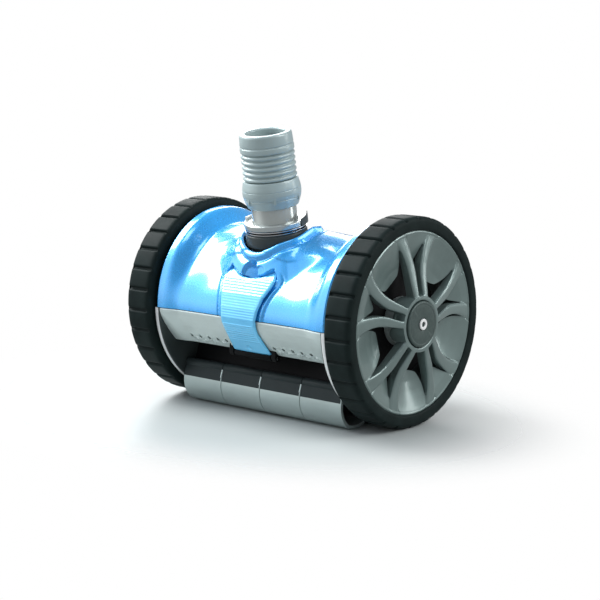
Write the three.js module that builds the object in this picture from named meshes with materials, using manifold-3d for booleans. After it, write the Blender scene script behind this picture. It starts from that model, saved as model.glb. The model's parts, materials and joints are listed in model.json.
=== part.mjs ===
// Suction-driven two-wheel pool cleaner, in millimetres, +Z up.
// Origin: on the floor, midway between the wheels, straight below the wheel axle.
// +X runs along the axle, -Y is the front (latch, perforated panel, front flaps).
// Inside the "cleaner" group, heights are measured from the wheel axle.
import * as THREE from "three";
import Module from "manifold-3d";
import { mergeVertices } from "three/addons/utils/BufferGeometryUtils.js";

const wasm = await Module();
wasm.setup();

// ---------------------------------------------------------------- driving dimensions
const GAP = 0.3; // clearance kept between touching pieces

const WHEEL_RADIUS = 100;
const TYRE_INNER_X = 112.2; // tyre face nearest the body
const TYRE_OUTER_X = 142.8;
const TYRE_SEAT_RADIUS = 84;
const RIM_EDGE_RADIUS = 86.8;
const TREAD_BLOCKS = 30;
const TREAD_DEPTH = 2.5;
const BLOCK_SHARE = 0.86; // part of the pitch that a tread block takes
const TREAD_END_X = 139.4; // the grooves end here, at the outer shoulder
const HUB_CAP_RADIUS = 21.7;
const HUB_CAP_TOP_X = 150.6;
const AXLE_RADIUS = 8;

const PLATE_INNER_X = 104; // side plates of the body
const PLATE_OUTER_X = 107.6;
const PLATE_RADIUS = 92.2; // below the split line
const PLATE_COVERED_RADIUS = 87.5; // above it, under the cover
const BODY_HALF = PLATE_INNER_X - GAP; // pieces that stand between the side plates

const SPLIT_Z = -0.6; // parting line between cover and lower body
const COVER_WALL = 3;
const CROWN_RADIUS = 74.4; // middle of the cover, at the top
const BROW_HEIGHT = 14.1; // extra radius at the front and rear of the middle
const BROW_ANGLE = 26; // degrees over which that extra radius dies away
const FLARE_START_X = 52; // the cover flares out to the side plates from here
const COVER_END_X = PLATE_OUTER_X;

const SLOT_HALF_WIDTH = 33.4; // slot in the cover in which the hose swivel tilts
const SLOT_FRONT_Y = -33.4; // centre of the slot's round front end
const SLOT_REAR_Y = 1;
const SLOT_LIP = 3.4;
const SLOT_LIP_TOP_RADIUS = 90.5;
const SLOT_LIP_TOP_Z = 82.5;
const SLOT_LIP_REAR_Y = -9;

const HOSE_LEAN = THREE.MathUtils.degToRad(9.2); // forward lean of the hose at rest
const HOSE_PIVOT = { y: -25.7, z: 20 }; // the swivel drum tilts about this line
const DRUM_TOP = 68; // from the pivot line, along the hose axis
const DRUM_HEIGHT = 20;
const DRUM_RADIUS = 30;
const NECK_RADIUS = 21.8;
const HOSE_RIB_RADIUS = 26;
const HOSE_BORE_RADIUS = 19;
const RIB_PITCH = 5.3;
const RIB_COUNT = 5;

const LATCH_PIN = { y: -67.3, z: -38 };
const COVER_PIN = { y: 94, z: -0.6 };
const FLAP_PIN = { y: 53.5, z: -60 };
const FLAP_COUNT = 4;
const FLAP_HALF_LENGTH = 102.6;

const IDLER_OFFSET = 36; // gear centre distance of both stages
const FIRST_STAGE_MODULE = 2.25;
const PINION_TEETH = 8;
const IDLER_TEETH = 24;
const SECOND_STAGE_MODULE = (2 * IDLER_OFFSET) / 27; // ring gear less small gear: 27 teeth
const SMALL_GEAR_TEETH = 9;
const RING_GEAR_TEETH = 36;
const SHAFT_RADIUS = 3.4;
const SHAFT_BORE = 3.8; // in the rotor and the pinions

const COLOURS = {
  blue: ["#5aa9ee", 0.22, 0.0],
  panelGrey: ["#a9abaa", 0.35, 0.3],
  darkGrey: ["#3b3d3f", 0.5, 0.0],
  black: ["#161718", 0.75, 0.0],
  rubber: ["#1c1d1e", 0.85, 0.0],
  wheelGrey: ["#5c5f61", 0.35, 0.2],
  capGrey: ["#47494b", 0.45, 0.0],
  white: ["#e9ebea", 0.35, 0.0],
  hoseGrey: ["#9aa4a8", 0.4, 0.0],
  swivelGrey: ["#8b9192", 0.3, 0.0],
  steel: ["#c4c7c9", 0.25, 1.0],
  acetal: ["#d9dad4", 0.5, 0.0],
  iron: ["#4a4a4c", 0.6, 0.8],
};

// ---------------------------------------------------------------- closed bodies
// Merges shared vertices and turns the faces outward, so that any closed surface is a solid.
function solidOf(source) {
  const geometry = source.clone();
  geometry.deleteAttribute("normal");
  geometry.deleteAttribute("uv");
  const merged = mergeVertices(geometry, 1e-3);
  const position = merged.attributes.position;
  const index = Array.from(merged.index.array);
  const triangles = [];
  for (let i = 0; i < index.length; i += 3) {
    const [a, b, c] = index.slice(i, i + 3);
    if (a !== b && b !== c && c !== a) triangles.push(a, b, c);
  }
  const corner = [0, 1, 2].map(() => new THREE.Vector3());
  let volume = 0;
  for (let i = 0; i < triangles.length; i += 3) {
    corner.forEach((v, k) => v.fromBufferAttribute(position, triangles[i + k]));
    volume += corner[0].dot(corner[1].clone().cross(corner[2]));
  }
  if (volume < 0) triangles.reverse();
  return new wasm.Manifold(new wasm.Mesh({
    numProp: 3,
    vertProperties: new Float32Array(position.array),
    triVerts: new Uint32Array(triangles),
  }));
}

function geometryOf(solid) {
  const mesh = solid.getMesh();
  const geometry = new THREE.BufferGeometry();
  geometry.setAttribute("position", new THREE.Float32BufferAttribute(mesh.vertProperties, 3));
  geometry.setIndex(Array.from(mesh.triVerts));
  geometry.computeVertexNormals();
  return geometry;
}

const joined = (...solids) => solids.reduce((sum, next) => sum.add(next));
const cutBy = (solid, ...cutters) => cutters.reduce((left, cutter) => left.subtract(cutter), solid);

// ---------------------------------------------------------------- basic shapes
const X_FROM_Z = new THREE.Matrix4().makeBasis(
  new THREE.Vector3(0, 1, 0), new THREE.Vector3(0, 0, 1), new THREE.Vector3(1, 0, 0));

// A profile drawn as (y, z) points, run along X from x0 to x1.
function alongX(profile, x0, x1) {
  const shape = profile instanceof THREE.Shape ? profile : new THREE.Shape(toPoints(profile));
  const geometry = new THREE.ExtrudeGeometry(shape, { depth: x1 - x0, bevelEnabled: false });
  return solidOf(geometry.applyMatrix4(X_FROM_Z).translate(x0, 0, 0));
}

// An outline drawn as (x, y) points, run along Z from z0 to z1.
function alongZ(outline, z0, z1) {
  const shape = outline instanceof THREE.Shape ? outline : new THREE.Shape(toPoints(outline));
  const geometry = new THREE.ExtrudeGeometry(shape, { depth: z1 - z0, bevelEnabled: false });
  return solidOf(geometry.translate(0, 0, z0));
}

// An outline drawn as (x, z) points, run along Y from y0 to y1.
function alongY(outline, y0, y1) {
  const geometry = new THREE.ExtrudeGeometry(new THREE.Shape(toPoints(outline)),
    { depth: y1 - y0, bevelEnabled: false });
  return solidOf(geometry.rotateX(Math.PI / 2).translate(0, y1, 0));
}

const toPoints = (pairs) => pairs.map(([u, v]) => new THREE.Vector2(u, v));

// Turned about the X axis; the profile is a list of [x, radius].
function turned(profile, segments) {
  const points = profile.map(([x, radius]) => new THREE.Vector2(radius, x));
  if (profile[0][1] > 0) points.push(points[0].clone());
  return solidOf(new THREE.LatheGeometry(points, segments).rotateZ(-Math.PI / 2));
}

// A plain rod or disc on an axis parallel to X.
function rod(radius, x0, x1, y = 0, z = 0, segments = 20) {
  return turned([[x0, 0], [x0, radius], [x1, radius], [x1, 0]], segments).translate([0, y, z]);
}

function ring(outer, inner, x0, x1, segments = 32) {
  return turned([[x0, inner], [x0, outer], [x1, outer], [x1, inner]], segments);
}

function box(x0, x1, y0, y1, z0, z1) {
  const geometry = new THREE.BoxGeometry(x1 - x0, y1 - y0, z1 - z0);
  return solidOf(geometry.translate((x0 + x1) / 2, (y0 + y1) / 2, (z0 + z1) / 2));
}

// Skin over a row of closed rings of points; open rows get strip ends, which join point i of a
// ring to its partner counted from the ring's other end.
function skinned(rings, closed) {
  const size = rings[0].length;
  const positions = rings.flat().flatMap((point) => [point.x, point.y, point.z]);
  const index = [];
  const spans = closed ? rings.length : rings.length - 1;
  const at = (row, i) => (row % rings.length) * size + (i % size);
  for (let row = 0; row < spans; row++) {
    for (let i = 0; i < size; i++) {
      index.push(at(row, i), at(row, i + 1), at(row + 1, i + 1));
      index.push(at(row, i), at(row + 1, i + 1), at(row + 1, i));
    }
  }
  if (!closed) {
    for (let i = 0; i < size / 2 - 1; i++) {
      const [a, b, c, d] = [i, i + 1, size - 2 - i, size - 1 - i];
      index.push(a, c, b, a, d, c);
      const last = rings.length - 1;
      index.push(at(last, a), at(last, b), at(last, c), at(last, a), at(last, c), at(last, d));
    }
  }
  const geometry = new THREE.BufferGeometry();
  geometry.setAttribute("position", new THREE.Float32BufferAttribute(positions, 3));
  geometry.setIndex(index);
  return solidOf(geometry);
}

const mirroredX = (solid) => solid.scale([-1, 1, 1]);

// ---------------------------------------------------------------- cover, panels and latch
const smooth = (t) => {
  const s = Math.min(Math.max(t, 0), 1);
  return s * s * (3 - 2 * s);
};

// How far the body has flared out towards a side plate, from 0 to 1.
const flare = (x) => smooth((Math.abs(x) - FLARE_START_X) / (COVER_END_X - FLARE_START_X));

// Outer radius of the cover at x, where angle is 0 at the front, 90 at the top and 180 behind.
function coverRadius(x, angle) {
  const fromEdge = Math.min(angle, 180 - angle);
  const middle = CROWN_RADIUS + BROW_HEIGHT * Math.exp(-((fromEdge / BROW_ANGLE) ** 2));
  return middle + (PLATE_RADIUS - middle) * flare(x);
}

const COVER_STATIONS = [0, FLARE_START_X, 66, 80, 94, COVER_END_X];
const bothSides = (stations) => [...stations.slice(1).reverse().map((x) => -x), ...stations];

function coverShell() {
  const steps = 16;
  const rings = bothSides(COVER_STATIONS).map((x) => {
    const outer = [];
    const inner = [];
    for (let i = 0; i <= steps; i++) {
      const angle = (180 * i) / steps;
      const radians = THREE.MathUtils.degToRad(angle);
      const radius = coverRadius(x, angle);
      const place = (r) => new THREE.Vector3(x, -r * Math.cos(radians), r * Math.sin(radians));
      outer.push(place(radius));
      inner.unshift(place(radius - COVER_WALL));
    }
    return [...outer, ...inner];
  });
  return skinned(rings, false);
}

// Slot outline seen from above: straight sides and round ends, grown by offset.
function slotOutline(offset) {
  const half = SLOT_HALF_WIDTH + offset;
  const shape = new THREE.Shape();
  shape.absarc(0, SLOT_REAR_Y, half, 0, Math.PI, false);
  shape.absarc(0, SLOT_FRONT_Y, half, Math.PI, 2 * Math.PI, false);
  return new THREE.Shape(shape.getSpacedPoints(28).slice(0, -1));
}

function topCover() {
  const lipBand = alongZ(slotOutline(SLOT_LIP), 41, SLOT_LIP_TOP_Z);
  const lip = lipBand
    .intersect(rod(SLOT_LIP_TOP_RADIUS, -60, 60, 0, 0, 48))
    .intersect(box(-60, 60, -90, SLOT_LIP_REAR_Y, 40, 90));
  const ears = [-1, 1].map((side) => {
    const ear = alongX([[-34, 11], [-17, 11], [-14, 72], [-40, 70]], 34.3, 38);
    return side < 0 ? mirroredX(ear) : ear;
  });
  const knuckleArm = [[84, 6.5], [90, 6.5], [COVER_PIN.y, 3.7], [COVER_PIN.y, COVER_PIN.z],
    [89.4, 1.6], [86, 1.6]];
  const knuckles = [-1, 1].map((side) => {
    const knuckle = joined(alongX(knuckleArm, 50, 62),
      rod(4.3, 50, 62, COVER_PIN.y, COVER_PIN.z, 10));
    return side < 0 ? mirroredX(knuckle) : knuckle;
  });
  const tiltHoles = rod(4.4, -60, 60, HOSE_PIVOT.y, HOSE_PIVOT.z, 16);
  const hingeHole = rod(2.4, -80, 80, COVER_PIN.y, COVER_PIN.z, 8);
  const whole = joined(coverShell(), lip, ...ears, ...knuckles);
  return cutBy(whole, alongZ(slotOutline(0), 30, 100), tiltHoles, hingeHole,
    box(-120, 120, -120, 88, -10, 0));
}

// Half profile of the panels below the split line, as [distance from the axle plane, z].
const PANEL_PROFILE = [[88.5, SPLIT_Z - 0.4], [84.5, -12], [77.6, -22], [70.5, -30.5], [66, -35.5]];
const PANEL_WALL = 2.6;

function panel(side) {
  const rings = bothSides([0, FLARE_START_X, 66, 80, 92, BODY_HALF]).map((x) => {
    const growth = (PLATE_RADIUS - PANEL_PROFILE[0][0]) * flare(x);
    const outer = PANEL_PROFILE.map(([y, z]) => new THREE.Vector3(x, side * (y + growth), z));
    const inner = PANEL_PROFILE.map(([y, z]) =>
      new THREE.Vector3(x, side * (y + growth - PANEL_WALL), z + (z > -5 ? 0 : 1))).reverse();
    return [...outer, ...inner];
  });
  return skinned(rings, false);
}

// A row of front-to-back rods that cut the drain holes of the front panel.
function holeRow(xs, radius, z) {
  return xs.map((x) => {
    const drill = new THREE.CylinderGeometry(radius, radius, 40, 6);
    return solidOf(drill.translate(x, -PANEL_PROFILE[1][0], z));
  });
}

const DRAIN_XS = [31, 42.6, 54.2, 65.8, 77.4];
const DRAIN_Z = -27.4;
const DRAIN_RADIUS = 1.5;
const bothSigns = (values) => values.flatMap((value) => [-value, value]);

function frontPanel() {
  const lug = [[-70, -29], [-70.6, -33], [LATCH_PIN.y - 4, LATCH_PIN.z],
    [LATCH_PIN.y, LATCH_PIN.z - 4], [LATCH_PIN.y + 4, LATCH_PIN.z], [-67.2, -33.2], [-67.6, -29]];
  const lugs = [-1, 1].map((side) => {
    const one = alongX(lug, 24.6, 30);
    return side < 0 ? mirroredX(one) : one;
  });
  const pinHole = rod(2.4, -40, 40, LATCH_PIN.y, LATCH_PIN.z, 12);
  // the panel's lower edge is notched between the lugs, where the latch turns
  const notched = panel(-1).subtract(box(-24.4, 24.4, -80, -55, -45, -31));
  const drains = holeRow(bothSigns(DRAIN_XS), DRAIN_RADIUS, DRAIN_Z);
  return cutBy(joined(notched, ...lugs), pinHole, ...drains);
}

function rearPanel() {
  const arm = [[84.5, -3], [89, -3], [COVER_PIN.y, -1.2], [COVER_PIN.y, -4.9], [86, -12], [83, -12]];
  const knuckleAt = (x0, x1) =>
    joined(alongX(arm, x0, x1), rod(4.3, x0, x1, COVER_PIN.y, COVER_PIN.z, 10));
  const knuckle = joined(knuckleAt(62.4, 70), knuckleAt(42, 49.6));
  const hingeHole = rod(2.4, -80, 80, COVER_PIN.y, COVER_PIN.z, 8);
  return cutBy(joined(panel(1), knuckle, mirroredX(knuckle)), hingeHole);
}

// Outer line of the latch strap, from its head down to its hinge, as (y, z).
const STRAP_LINE = [[-62.6, 48.5], [-64.7, 46.3], [-75.1, 37.6], [-85.7, 22.7], [-90.5, 10],
  [-92.1, 0.5], [-91, -6], [-87.1, -13.8], [-79, -25], [-70.4, -36.4]];
const STRAP_WALL = 2.2;
// Half outline of the strap from the front, as (x, z).
const STRAP_HALF_OUTLINE = [[0, 38], [14, 40], [26.4, 46.3], [32.5, 37.6], [27, 22], [22, 0.5],
  [21, -13.8], [23.6, -34.4], [23.6, -45], [0, -45]];

function offsetLine(line, distance) {
  return line.map(([y, z], i) => {
    const [y0, z0] = line[Math.max(i - 1, 0)];
    const [y1, z1] = line[Math.min(i + 1, line.length - 1)];
    const length = Math.hypot(y1 - y0, z1 - z0);
    return [y - (distance * (z1 - z0)) / length, z + (distance * (y1 - y0)) / length];
  });
}

function latchStrap() {
  const band = [...STRAP_LINE, ...offsetLine(STRAP_LINE, STRAP_WALL).reverse()];
  const left = STRAP_HALF_OUTLINE.slice(1, -1).reverse().map(([x, z]) => [-x, z]);
  const outline = alongY([...STRAP_HALF_OUTLINE, ...left], -110, -50);
  const strap = alongX(band, -40, 40).intersect(outline);
  const barrel = rod(4.2, -23.6, 23.6, LATCH_PIN.y, LATCH_PIN.z, 16);
  return cutBy(joined(strap, barrel), rod(2.4, -40, 40, LATCH_PIN.y, LATCH_PIN.z, 12));
}

// ---------------------------------------------------------------- lower body
const TROUGH_WALL = 3;
// Outer face of the trough's front half, as (y, z), from the panel's edge down to the flat bottom.
const TROUGH_LINE = [[-63, -33.2], [-42, -33.2], [-37, -44], [-43, -60], [-43, -71], [-35, -78]];
// Outside half sizes of the turbine's intake throat, which passes through the bottom of the trough.
const THROAT_HALF = { x: 27, y: 20 };
const THROAT_END_Z = -80;

function lowerHousing() {
  const rear = TROUGH_LINE.map(([y, z]) => [-y, z]).reverse();
  const line = [...TROUGH_LINE, ...rear];
  const trough = alongX([...line, ...offsetLine(line, TROUGH_WALL).reverse()], -BODY_HALF, BODY_HALF);
  const halfX = THROAT_HALF.x + 2 * GAP;
  const halfY = THROAT_HALF.y + 2 * GAP;
  return cutBy(trough, box(-halfX, halfX, -halfY, halfY, -90, -60));
}

function sidePlate() {
  const disc = rod(PLATE_RADIUS, PLATE_INNER_X, PLATE_OUTER_X, 0, 0, 48);
  const low = cutBy(disc, box(90, 120, -100, 100, SPLIT_Z - GAP, 100));
  const covered = rod(PLATE_COVERED_RADIUS, PLATE_INNER_X, PLATE_OUTER_X, 0, 0, 32);
  const boss = rod(12, 99, PLATE_INNER_X + 1, 0, 0, 16);
  const socket = rod(8.4, 90, 103.9, 0, 0, 16);
  const idlerHole = rod(10, 90, 120, IDLER_OFFSET, 0, 16);
  const idlerBoss = rod(13, 101.6, PLATE_INNER_X + 1, IDLER_OFFSET, 0, 16);
  return cutBy(joined(low, covered, boss, idlerBoss), socket, idlerHole);
}

// Trim along the lower half of the side plate, up to the parting line.
const edgeRing = () =>
  cutBy(ring(92.2, 90.2, PLATE_OUTER_X + GAP, 109.2, 36), box(100, 120, -100, 100, SPLIT_Z - GAP, 100));

const stubAxle = () => turned([[107.9, 0], [107.9, 14], [110, 14], [110, AXLE_RADIUS], [147.2, AXLE_RADIUS],
  [147.2, 0]], 16);

const HOUSING_WALL = 2.5;

// Round chamber for the rotor, with the intake throat below and the chimney to the swivel above.
function turbineHousing() {
  const { x, y } = THROAT_HALF;
  const outer = joined(rod(42, -x, x, 0, 0, 28), box(-x, x, -y, y, THROAT_END_Z, 0),
    box(-x, x, -36, 8, 0, 50));
  const hollow = x - HOUSING_WALL;
  const inner = joined(rod(42 - HOUSING_WALL, -hollow, hollow, 0, 0, 28),
    box(-hollow, hollow, HOUSING_WALL - y, y - HOUSING_WALL, -90, 0),
    box(-hollow, hollow, HOUSING_WALL - 36, 8 - HOUSING_WALL, 0, 60));
  return cutBy(outer, inner, rod(5.4, -40, 40, 0, 0, 12));
}

// ---------------------------------------------------------------- hose swivel and hose
// Pieces are turned about X and then stood up along the hose axis; heights start at the pivot.
function stoodUp(solid) {
  const geometry = geometryOf(solid).rotateY(-Math.PI / 2);
  return solidOf(geometry);
}
const upright = (profile, segments) => stoodUp(turned(profile, segments));

function swivelDrum() {
  const bottom = DRUM_TOP - DRUM_HEIGHT;
  const wall = upright([[bottom, 25], [bottom, DRUM_RADIUS], [DRUM_TOP - 6, DRUM_RADIUS],
    [DRUM_TOP - 6, 22.6], [DRUM_TOP - 9, 22.6], [DRUM_TOP - 9, 25]], 24);
  const arm = alongX([[-7, -6.5], [7, -6.5], [9, bottom + 8], [-9, bottom + 8]], 28.3, 31.5);
  const pinHole = rod(4.4, -60, 60, 0, 0, 16);
  return cutBy(joined(wall, arm, mirroredX(arm)), pinHole);
}

const SEAL = [DRUM_TOP - 5.7, DRUM_TOP - 3.9];
const RETAINER = [DRUM_TOP - 3.6, DRUM_TOP - 2.3];
const COLLAR = [DRUM_TOP - 2, DRUM_TOP + 3];

const uprightRing = (outer, inner, [low, high], segments = 24) =>
  upright([[low, inner], [low, outer], [high, outer], [high, inner]], segments);

function collarPlate() {
  const plate = uprightRing(30.6, NECK_RADIUS + 0.6, COLLAR);
  const tab = box(20, 30, 4, 11, COLLAR[1] - 1, COLLAR[1] + 7);
  const outside = uprightRing(60, 30.4, [0, 100], 32);
  const inside = uprightRing(27.6, 5, [0, 100], 32);
  return joined(plate, cutBy(tab, outside, inside));
}

const NECK = [DRUM_TOP - 12, DRUM_TOP + 27];

function neckTube() {
  const [low, high] = NECK;
  const inner = 18.6;
  const flange = 24.4;
  return upright([[low, inner], [low, flange], [low + 2.6, flange], [low + 2.6, NECK_RADIUS],
    [high, NECK_RADIUS], [high, inner]], 24);
}

function hoseCuff() {
  const low = DRUM_TOP + 14;
  const inner = NECK_RADIUS + GAP;
  return upright([[low, inner], [low, 24], [low + 8, 27.2], [low + 15, 28.4], [low + 21, 28.4],
    [low + 26, 27], [low + 29.5, 26.4], [low + 29.5, 21], [NECK[1] + GAP, 21], [NECK[1] + GAP, inner]], 24);
}

const RIBS_LOW = DRUM_TOP + 43.8;

function ribbedHose() {
  const profile = [[RIBS_LOW, HOSE_BORE_RADIUS]];
  for (let rib = 0; rib < RIB_COUNT; rib++) {
    const low = RIBS_LOW + rib * RIB_PITCH;
    profile.push([low, 23.6], [low + 1.4, HOSE_RIB_RADIUS], [low + 3.6, HOSE_RIB_RADIUS]);
  }
  const top = RIBS_LOW + RIB_COUNT * RIB_PITCH;
  profile.push([top, 23.6], [top, HOSE_BORE_RADIUS]);
  return upright(profile, 18);
}

function endCuff() {
  const low = RIBS_LOW + RIB_COUNT * RIB_PITCH + GAP;
  return upright([[low, HOSE_BORE_RADIUS], [low, HOSE_RIB_RADIUS], [low + 16, 25.4], [low + 18, 24.6],
    [low + 18, HOSE_BORE_RADIUS]], 24);
}

// ---------------------------------------------------------------- drive train
// Outline of a spur gear with straight-sided teeth; tooth 0 is centred on the given phase.
function gearOutline(teeth, module, rootFactor, tipFactor, phase) {
  const pitch = (teeth * module) / 2;
  const root = pitch + rootFactor * module;
  const tip = pitch + tipFactor * module;
  const step = (2 * Math.PI) / teeth;
  const points = [];
  for (let tooth = 0; tooth < teeth; tooth++) {
    const centre = phase + tooth * step;
    const flank = [[-0.33, root], [-0.12, tip], [0.12, tip], [0.33, root]];
    for (const [share, radius] of flank) {
      points.push([radius * Math.cos(centre + share * step), radius * Math.sin(centre + share * step)]);
    }
  }
  return points;
}

const ROOT_DEPTH = -1.15;
const TIP_HEIGHT = 0.85;

// External gear on the X axis, with one tooth pointing to the given phase.
const gear = (teeth, module, x0, x1, phase) =>
  alongX(gearOutline(teeth, module, ROOT_DEPTH, TIP_HEIGHT, phase), x0, x1);

const drivePinion = () =>
  cutBy(gear(PINION_TEETH, FIRST_STAGE_MODULE, 88, 96, 0), rod(SHAFT_BORE, 80, 100, 0, 0, 12));

// Large gear inside the body, small gear inside the wheel, one shaft through the side plate.
function compoundGear() {
  const halfTooth = Math.PI / IDLER_TEETH; // a gap faces the pinion's tooth
  const large = gear(IDLER_TEETH, FIRST_STAGE_MODULE, 89, 95, Math.PI + halfTooth);
  const small = gear(SMALL_GEAR_TEETH, SECOND_STAGE_MODULE, 109, 119, 0);
  return joined(large, small, rod(6.4, 94, 110, 0, 0, 14)).translate([0, IDLER_OFFSET, 0]);
}

const idlerBush = () => ring(9.6, 6.8, 100, 108.4, 16).translate([0, IDLER_OFFSET, 0]);

// Internal gear: its teeth point inward, and a gap faces the small gear's tooth.
function ringGear() {
  const step = Math.PI / RING_GEAR_TEETH;
  const teeth = gearOutline(RING_GEAR_TEETH, SECOND_STAGE_MODULE, -ROOT_DEPTH, -TIP_HEIGHT, step);
  const hollow = alongX(teeth, 100, 119.6);
  return cutBy(rod(55, 110, 122, 0, 0, 20), hollow, rod(17.4, 100, 130, 0, 0, 16));
}

const VANES = 6;

function turbineRotor() {
  const vanes = [];
  for (let i = 0; i < VANES; i++) {
    const vane = [[6, -1.5], [20, 0.5], [36.5, 6], [36.5, 8.4], [20, 3], [6, 1.5]];
    vanes.push(alongX(vane, -23, 23).rotate([(360 * i) / VANES, 0, 0]));
  }
  return cutBy(joined(rod(10, -23, 23, 0, 0, 18), ...vanes), rod(SHAFT_BORE, -30, 30, 0, 0, 12));
}

const turbineShaft = () => rod(SHAFT_RADIUS, -103, 103, 0, 0, 14);
const shaftBearing = () => ring(8, 3.7, 98.6, 103.6, 16);

// ---------------------------------------------------------------- wheels
function tyre() {
  const crest = WHEEL_RADIUS / Math.cos(Math.PI / TREAD_BLOCKS * BLOCK_SHARE);
  const rings = [];
  for (let block = 0; block < TREAD_BLOCKS; block++) {
    const centre = (2 * Math.PI * (block + 0.5)) / TREAD_BLOCKS; // one block stands on the floor
    const half = (Math.PI / TREAD_BLOCKS) * BLOCK_SHARE;
    rings.push(tyreSection(centre - half, crest, crest));
    rings.push(tyreSection(centre + half, crest, crest));
    rings.push(tyreSection(centre + Math.PI / TREAD_BLOCKS, crest - TREAD_DEPTH, crest));
  }
  return skinned(rings, true);
}

function tyreSection(angle, treadRadius, shoulderRadius) {
  const profile = [[TYRE_INNER_X, TYRE_SEAT_RADIUS], [TYRE_INNER_X, treadRadius],
    [TREAD_END_X, treadRadius],
    [TREAD_END_X + 1.5, shoulderRadius], [141.4, shoulderRadius], [TYRE_OUTER_X, shoulderRadius - 1.6],
    [TYRE_OUTER_X, RIM_EDGE_RADIUS + 0.9], [139.6, TYRE_SEAT_RADIUS]];
  return profile.map(([x, radius]) =>
    new THREE.Vector3(x, radius * Math.cos(angle), radius * Math.sin(angle)));
}

const SPOKE_PAIRS = 5;
// One petal-shaped window, pointing along +Y, as (y, z) points.
const WINDOW = [[27, 0], [40, 11.5], [58, 21], [72, 21], [76, 0], [72, -21], [58, -21], [40, -11.5]];
// The narrow gap between the two spokes of a pair.
const SPOKE_GAP = [[30, -1], [50, -2], [74, -5.5], [74, 5.5], [50, 2], [30, 1]];
// Section of the domed spoke disc, as [x, radius], with a recess in the middle for the hub cap.
const DOME_PROFILE = [[137.8, 16], [137.8, 81], [141.3, 81], [142.2, 70], [143.5, 57], [145.2, 46],
  [147.3, 37], [148.9, 29], [148.9, 22.4], [141.1, 22.4], [141.1, 16]];

function wheelRim() {
  const band = turned([[113, 80], [113, 83], [139.9, 83], [142.5, RIM_EDGE_RADIUS],
    [TYRE_OUTER_X, RIM_EDGE_RADIUS], [TYRE_OUTER_X, 80]], 32);
  const disc = turned(DOME_PROFILE, 24);
  const hub = ring(17, 11.9, 114, 147, 16);
  const cutters = [];
  for (let i = 0; i < SPOKE_PAIRS; i++) {
    const turn = (360 * i) / SPOKE_PAIRS + 90;
    cutters.push(alongX(WINDOW, 130, 155).rotate([turn + 180 / SPOKE_PAIRS, 0, 0]));
    cutters.push(alongX(SPOKE_GAP, 130, 155).rotate([turn, 0, 0]));
  }
  return joined(cutBy(disc, ...cutters), band, hub);
}

const wheelBush = () => ring(11.5, 8.3, 112, 146, 16);

const hubCap = () => turned([[141.6, 18], [141.6, HUB_CAP_RADIUS], [149.6, HUB_CAP_RADIUS],
  [HUB_CAP_TOP_X, 20.4], [HUB_CAP_TOP_X, 0], [147.8, 0], [147.8, 18]], 28);

const capRing = () => ring(5.25, 2.5, HUB_CAP_TOP_X + GAP, 152, 16);

// ---------------------------------------------------------------- flaps
// One hooked flap plate, drawn for the rear (+Y) side, from its hinge eye down to the floor.
const FLAP_OUTER = [[56.9, -61.5], [60.4, -71.5], [60.9, -79], [58.9, -87], [53, -95], [44.5, -99.3],
  [34, -99.6], [24, -96.4]];
const FLAP_WALL = 3.4;

function flap(side, number) {
  const length = (2 * FLAP_HALF_LENGTH) / FLAP_COUNT;
  const x0 = -FLAP_HALF_LENGTH + number * length + 0.25;
  const x1 = x0 + length - 0.5;
  const plate = alongX([...FLAP_OUTER, ...offsetLine(FLAP_OUTER, -FLAP_WALL).reverse()], x0, x1);
  const eye = rod(4.4, x0, x1, FLAP_PIN.y, FLAP_PIN.z, 12);
  const whole = cutBy(joined(plate, eye), rod(2.4, -120, 120, FLAP_PIN.y, FLAP_PIN.z, 10));
  return side < 0 ? whole.scale([1, -1, 1]) : whole;
}

// ---------------------------------------------------------------- assembly
const part = new THREE.Group();
const cleaner = new THREE.Group();
cleaner.position.z = WHEEL_RADIUS;
part.add(cleaner);

const swivel = new THREE.Group();
swivel.position.set(0, HOSE_PIVOT.y, HOSE_PIVOT.z);
swivel.rotation.x = HOSE_LEAN;
cleaner.add(swivel);

function addPiece(group, name, solid, colour) {
  const [color, roughness, metalness] = COLOURS[colour];
  const material = new THREE.MeshStandardMaterial({ color, roughness, metalness });
  const mesh = new THREE.Mesh(geometryOf(solid), material);
  mesh.name = name;
  group.add(mesh);
}

// A piece made for the right side, with its mirror image on the left.
function addPair(name, solid, colour) {
  addPiece(cleaner, `${name}_left`, mirroredX(solid), colour);
  addPiece(cleaner, `${name}_right`, solid, colour);
}

addPiece(cleaner, "lower_housing", lowerHousing(), "black");
addPiece(cleaner, "front_panel", frontPanel(), "panelGrey");
addPiece(cleaner, "rear_panel", rearPanel(), "panelGrey");
addPiece(cleaner, "turbine_housing", turbineHousing(), "darkGrey");
addPiece(cleaner, "ballast_bar", box(-96, 96, 24, 33, -74, -66), "iron");
addPair("side_plate", sidePlate(), "darkGrey");
addPair("edge_ring", edgeRing(), "steel");
addPair("stub_axle", stubAxle(), "steel");
addPair("shaft_bearing", shaftBearing(), "steel");
addPair("idler_bush", idlerBush(), "acetal");
addPiece(cleaner, "cover_hinge_pin", rod(2, -72, 72, COVER_PIN.y, COVER_PIN.z, 12), "steel");
addPiece(cleaner, "latch_pin", rod(2, -31, 31, LATCH_PIN.y, LATCH_PIN.z, 12), "steel");
addPiece(cleaner, "front_flap_rod", rod(2, -BODY_HALF, BODY_HALF, -FLAP_PIN.y, FLAP_PIN.z, 12), "steel");
addPiece(cleaner, "rear_flap_rod", rod(2, -BODY_HALF, BODY_HALF, FLAP_PIN.y, FLAP_PIN.z, 12), "steel");

addPiece(cleaner, "top_cover", topCover(), "blue");
addPair("tilt_pin", rod(4, 28, 40, HOSE_PIVOT.y, HOSE_PIVOT.z, 16), "steel");
addPiece(cleaner, "latch_strap", latchStrap(), "blue");

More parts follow.
